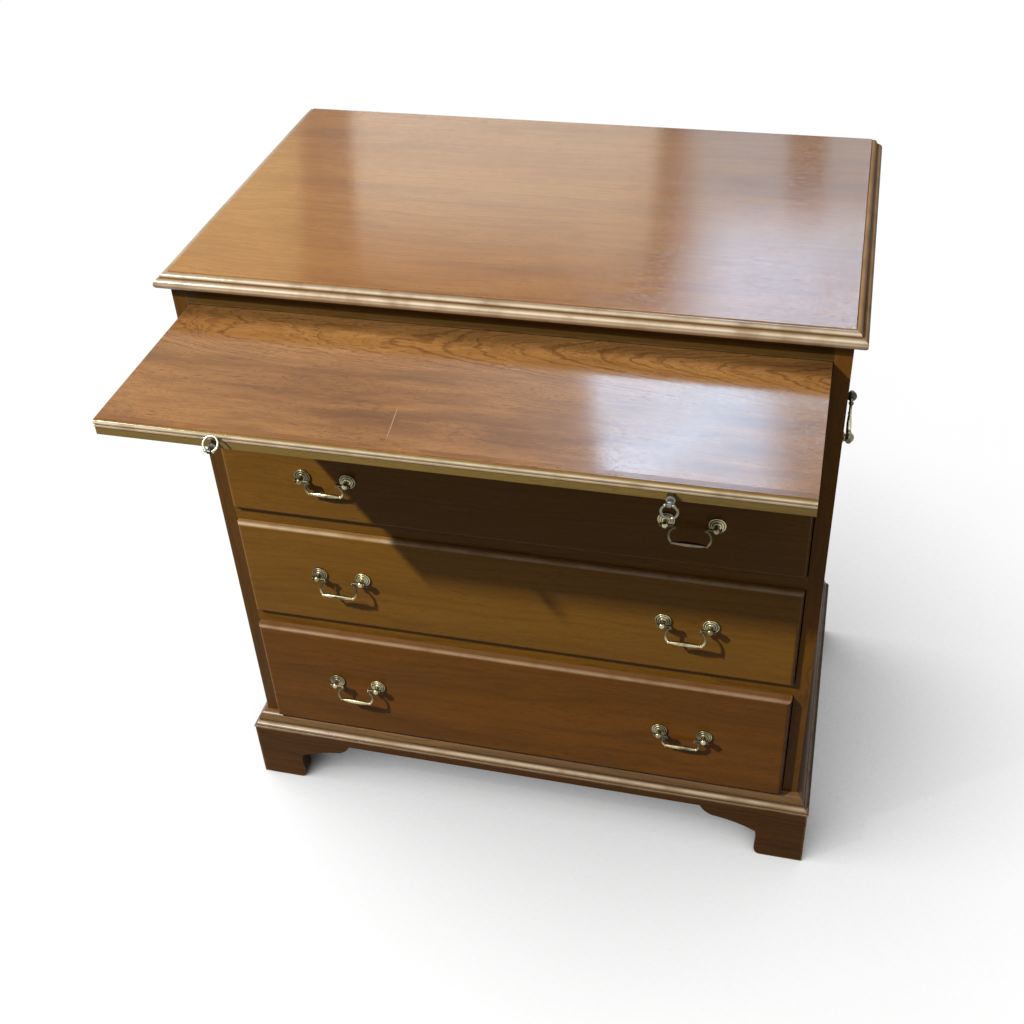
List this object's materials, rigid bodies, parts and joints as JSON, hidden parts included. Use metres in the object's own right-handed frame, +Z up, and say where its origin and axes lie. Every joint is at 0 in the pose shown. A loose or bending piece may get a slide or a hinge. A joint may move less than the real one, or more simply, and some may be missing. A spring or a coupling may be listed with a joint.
{
  "type": "bachelors chest",
  "caption": "Low mahogany chest of graduated drawers with a pull-out brushing slide, swan-neck bail handles, carrying handles on the sides and a moulded plinth on bracket feet.",
  "frame": {"origin": "on the floor, under the middle of the chest's box with its brushing slide drawn out as stored", "axes": "+Z up; -Y towards the user, the way the drawers and the slide come out; +X to the user's right along the front"},
  "size_m": [0.7724, 0.6924, 0.8172],
  "materials": {
    "mahogany": "polished, warm mid brown",
    "mahogany_figured": "polished, cathedral figure on the slide",
    "mahogany_drawer": "polished, darker reddish brown",
    "lining": "planed, unfinished pale wood",
    "carcase": "planed, unfinished secondary wood",
    "brass": "lacquered, slightly dulled",
    "stud_brass": "dull, greyed"
  },
  "bodies": {
    "case": {"top_panel": "mahogany", "top_moulding_front": "mahogany", "top_moulding_left": "mahogany", "top_moulding_right": "mahogany", "side_left": "mahogany", "side_right": "mahogany", "back_panel": "carcase", "top_rail": "mahogany", "slide_rail": "mahogany", "drawer_rails": "mahogany", "bottom_board": "carcase", "dust_boards": "carcase", "runners": "carcase", "drawer_stops": "carcase", "base_moulding_front": "mahogany", "base_moulding_left": "mahogany", "base_moulding_right": "mahogany", "plinth_front": "mahogany", "plinth_left": "mahogany", "plinth_right": "mahogany", "rear_brackets": "carcase", "foot_blocks": "carcase", "carry_posts": "brass"},
    "slide": {"slide_board": "mahogany_figured", "slide_edge": "mahogany_figured", "slide_stop": "carcase", "ring_studs": "stud_brass"},
    "ring_left": {"ring_left": "brass"},
    "ring_right": {"ring_right": "brass"},
    "carry_bail_left": {"carry_bail_left": "brass"},
    "carry_bail_right": {"carry_bail_right": "brass"},
    "drawer_1": {"drawer_1_front": "mahogany_drawer", "drawer_1_sides": "lining", "drawer_1_back": "lining", "drawer_1_bottom": "lining", "drawer_1_posts": "brass"},
    "drawer_1_bail_left": {"drawer_1_bail_left": "brass"},
    "drawer_1_bail_right": {"drawer_1_bail_right": "brass"},
    "drawer_2": {"drawer_2_front": "mahogany_drawer", "drawer_2_sides": "lining", "drawer_2_back": "lining", "drawer_2_bottom": "lining", "drawer_2_posts": "brass"},
    "drawer_2_bail_left": {"drawer_2_bail_left": "brass"},
    "drawer_2_bail_right": {"drawer_2_bail_right": "brass"},
    "drawer_3": {"drawer_3_front": "mahogany_drawer", "drawer_3_sides": "lining", "drawer_3_back": "lining", "drawer_3_bottom": "lining", "drawer_3_posts": "brass"},
    "drawer_3_bail_left": {"drawer_3_bail_left": "brass"},
    "drawer_3_bail_right": {"drawer_3_bail_right": "brass"},
    "drawer_4": {"drawer_4_front": "mahogany_drawer", "drawer_4_sides": "lining", "drawer_4_back": "lining", "drawer_4_bottom": "lining", "drawer_4_posts": "brass"},
    "drawer_4_bail_left": {"drawer_4_bail_left": "brass"},
    "drawer_4_bail_right": {"drawer_4_bail_right": "brass"}
  },
  "joints": [
    {"name": "slide_run", "type": "slide", "parent": "case", "child": "slide", "axis": [0, -1, 0], "range_m": [-0.217, 0.04]},
    {"name": "ring_left_swing", "type": "hinge", "parent": "slide", "child": "ring_left", "pos_m": [-0.2215, -0.3438, 0.7643], "axis": [1, 0, 0], "range_deg": [0, 166]},
    {"name": "ring_right_swing", "type": "hinge", "parent": "slide", "child": "ring_right", "pos_m": [0.2215, -0.3438, 0.7643], "axis": [-1, 0, 0], "range_deg": [-30, 136]},
    {"name": "carry_bail_left_swing", "type": "hinge", "parent": "case", "child": "carry_bail_left", "pos_m": [-0.3786, 0.1087, 0.565], "axis": [0, 1, 0], "range_deg": [-25, 170]},
    {"name": "carry_bail_right_swing", "type": "hinge", "parent": "case", "child": "carry_bail_right", "pos_m": [0.3786, 0.1087, 0.565], "axis": [0, -1, 0], "range_deg": [-25, 170]},
    {"name": "drawer_1_run", "type": "slide", "parent": "case", "child": "drawer_1", "axis": [0, -1, 0], "range_m": [0, 0.3]},
    {"name": "drawer_1_bail_left_swing", "type": "hinge", "parent": "drawer_1", "child": "drawer_1_bail_left", "pos_m": [-0.2175, -0.1253, 0.694], "axis": [-1, 0, 0], "range_deg": [-20, 170]},
    {"name": "drawer_1_bail_right_swing", "type": "hinge", "parent": "drawer_1", "child": "drawer_1_bail_right", "pos_m": [0.2175, -0.1253, 0.694], "axis": [-1, 0, 0], "range_deg": [-20, 170]},
    {"name": "drawer_2_run", "type": "slide", "parent": "case", "child": "drawer_2", "axis": [0, -1, 0], "range_m": [0, 0.3]},
    {"name": "drawer_2_bail_left_swing", "type": "hinge", "parent": "drawer_2", "child": "drawer_2_bail_left", "pos_m": [-0.2175, -0.1253, 0.557], "axis": [-1, 0, 0], "range_deg": [-12, 178]},
    {"name": "drawer_2_bail_right_swing", "type": "hinge", "parent": "drawer_2", "child": "drawer_2_bail_right", "pos_m": [0.2175, -0.1253, 0.557], "axis": [-1, 0, 0], "range_deg": [-40, 150]},
    {"name": "drawer_3_run", "type": "slide", "parent": "case", "child": "drawer_3", "axis": [0, -1, 0], "range_m": [0, 0.3]},
    {"name": "drawer_3_bail_left_swing", "type": "hinge", "parent": "drawer_3", "child": "drawer_3_bail_left", "pos_m": [-0.2175, -0.1253, 0.4014], "axis": [-1, 0, 0], "range_deg": [-44, 146]},
    {"name": "drawer_3_bail_right_swing", "type": "hinge", "parent": "drawer_3", "child": "drawer_3_bail_right", "pos_m": [0.2175, -0.1253, 0.4014], "axis": [-1, 0, 0], "range_deg": [-40, 150]},
    {"name": "drawer_4_run", "type": "slide", "parent": "case", "child": "drawer_4", "axis": [0, -1, 0], "range_m": [-0.004, 0.296]},
    {"name": "drawer_4_bail_left_swing", "type": "hinge", "parent": "drawer_4", "child": "drawer_4_bail_left", "pos_m": [-0.2175, -0.1293, 0.2127], "axis": [-1, 0, 0], "range_deg": [-37, 153]},
    {"name": "drawer_4_bail_right_swing", "type": "hinge", "parent": "drawer_4", "child": "drawer_4_bail_right", "pos_m": [0.2175, -0.1293, 0.2127], "axis": [-1, 0, 0], "range_deg": [-12, 178]}
  ]
}
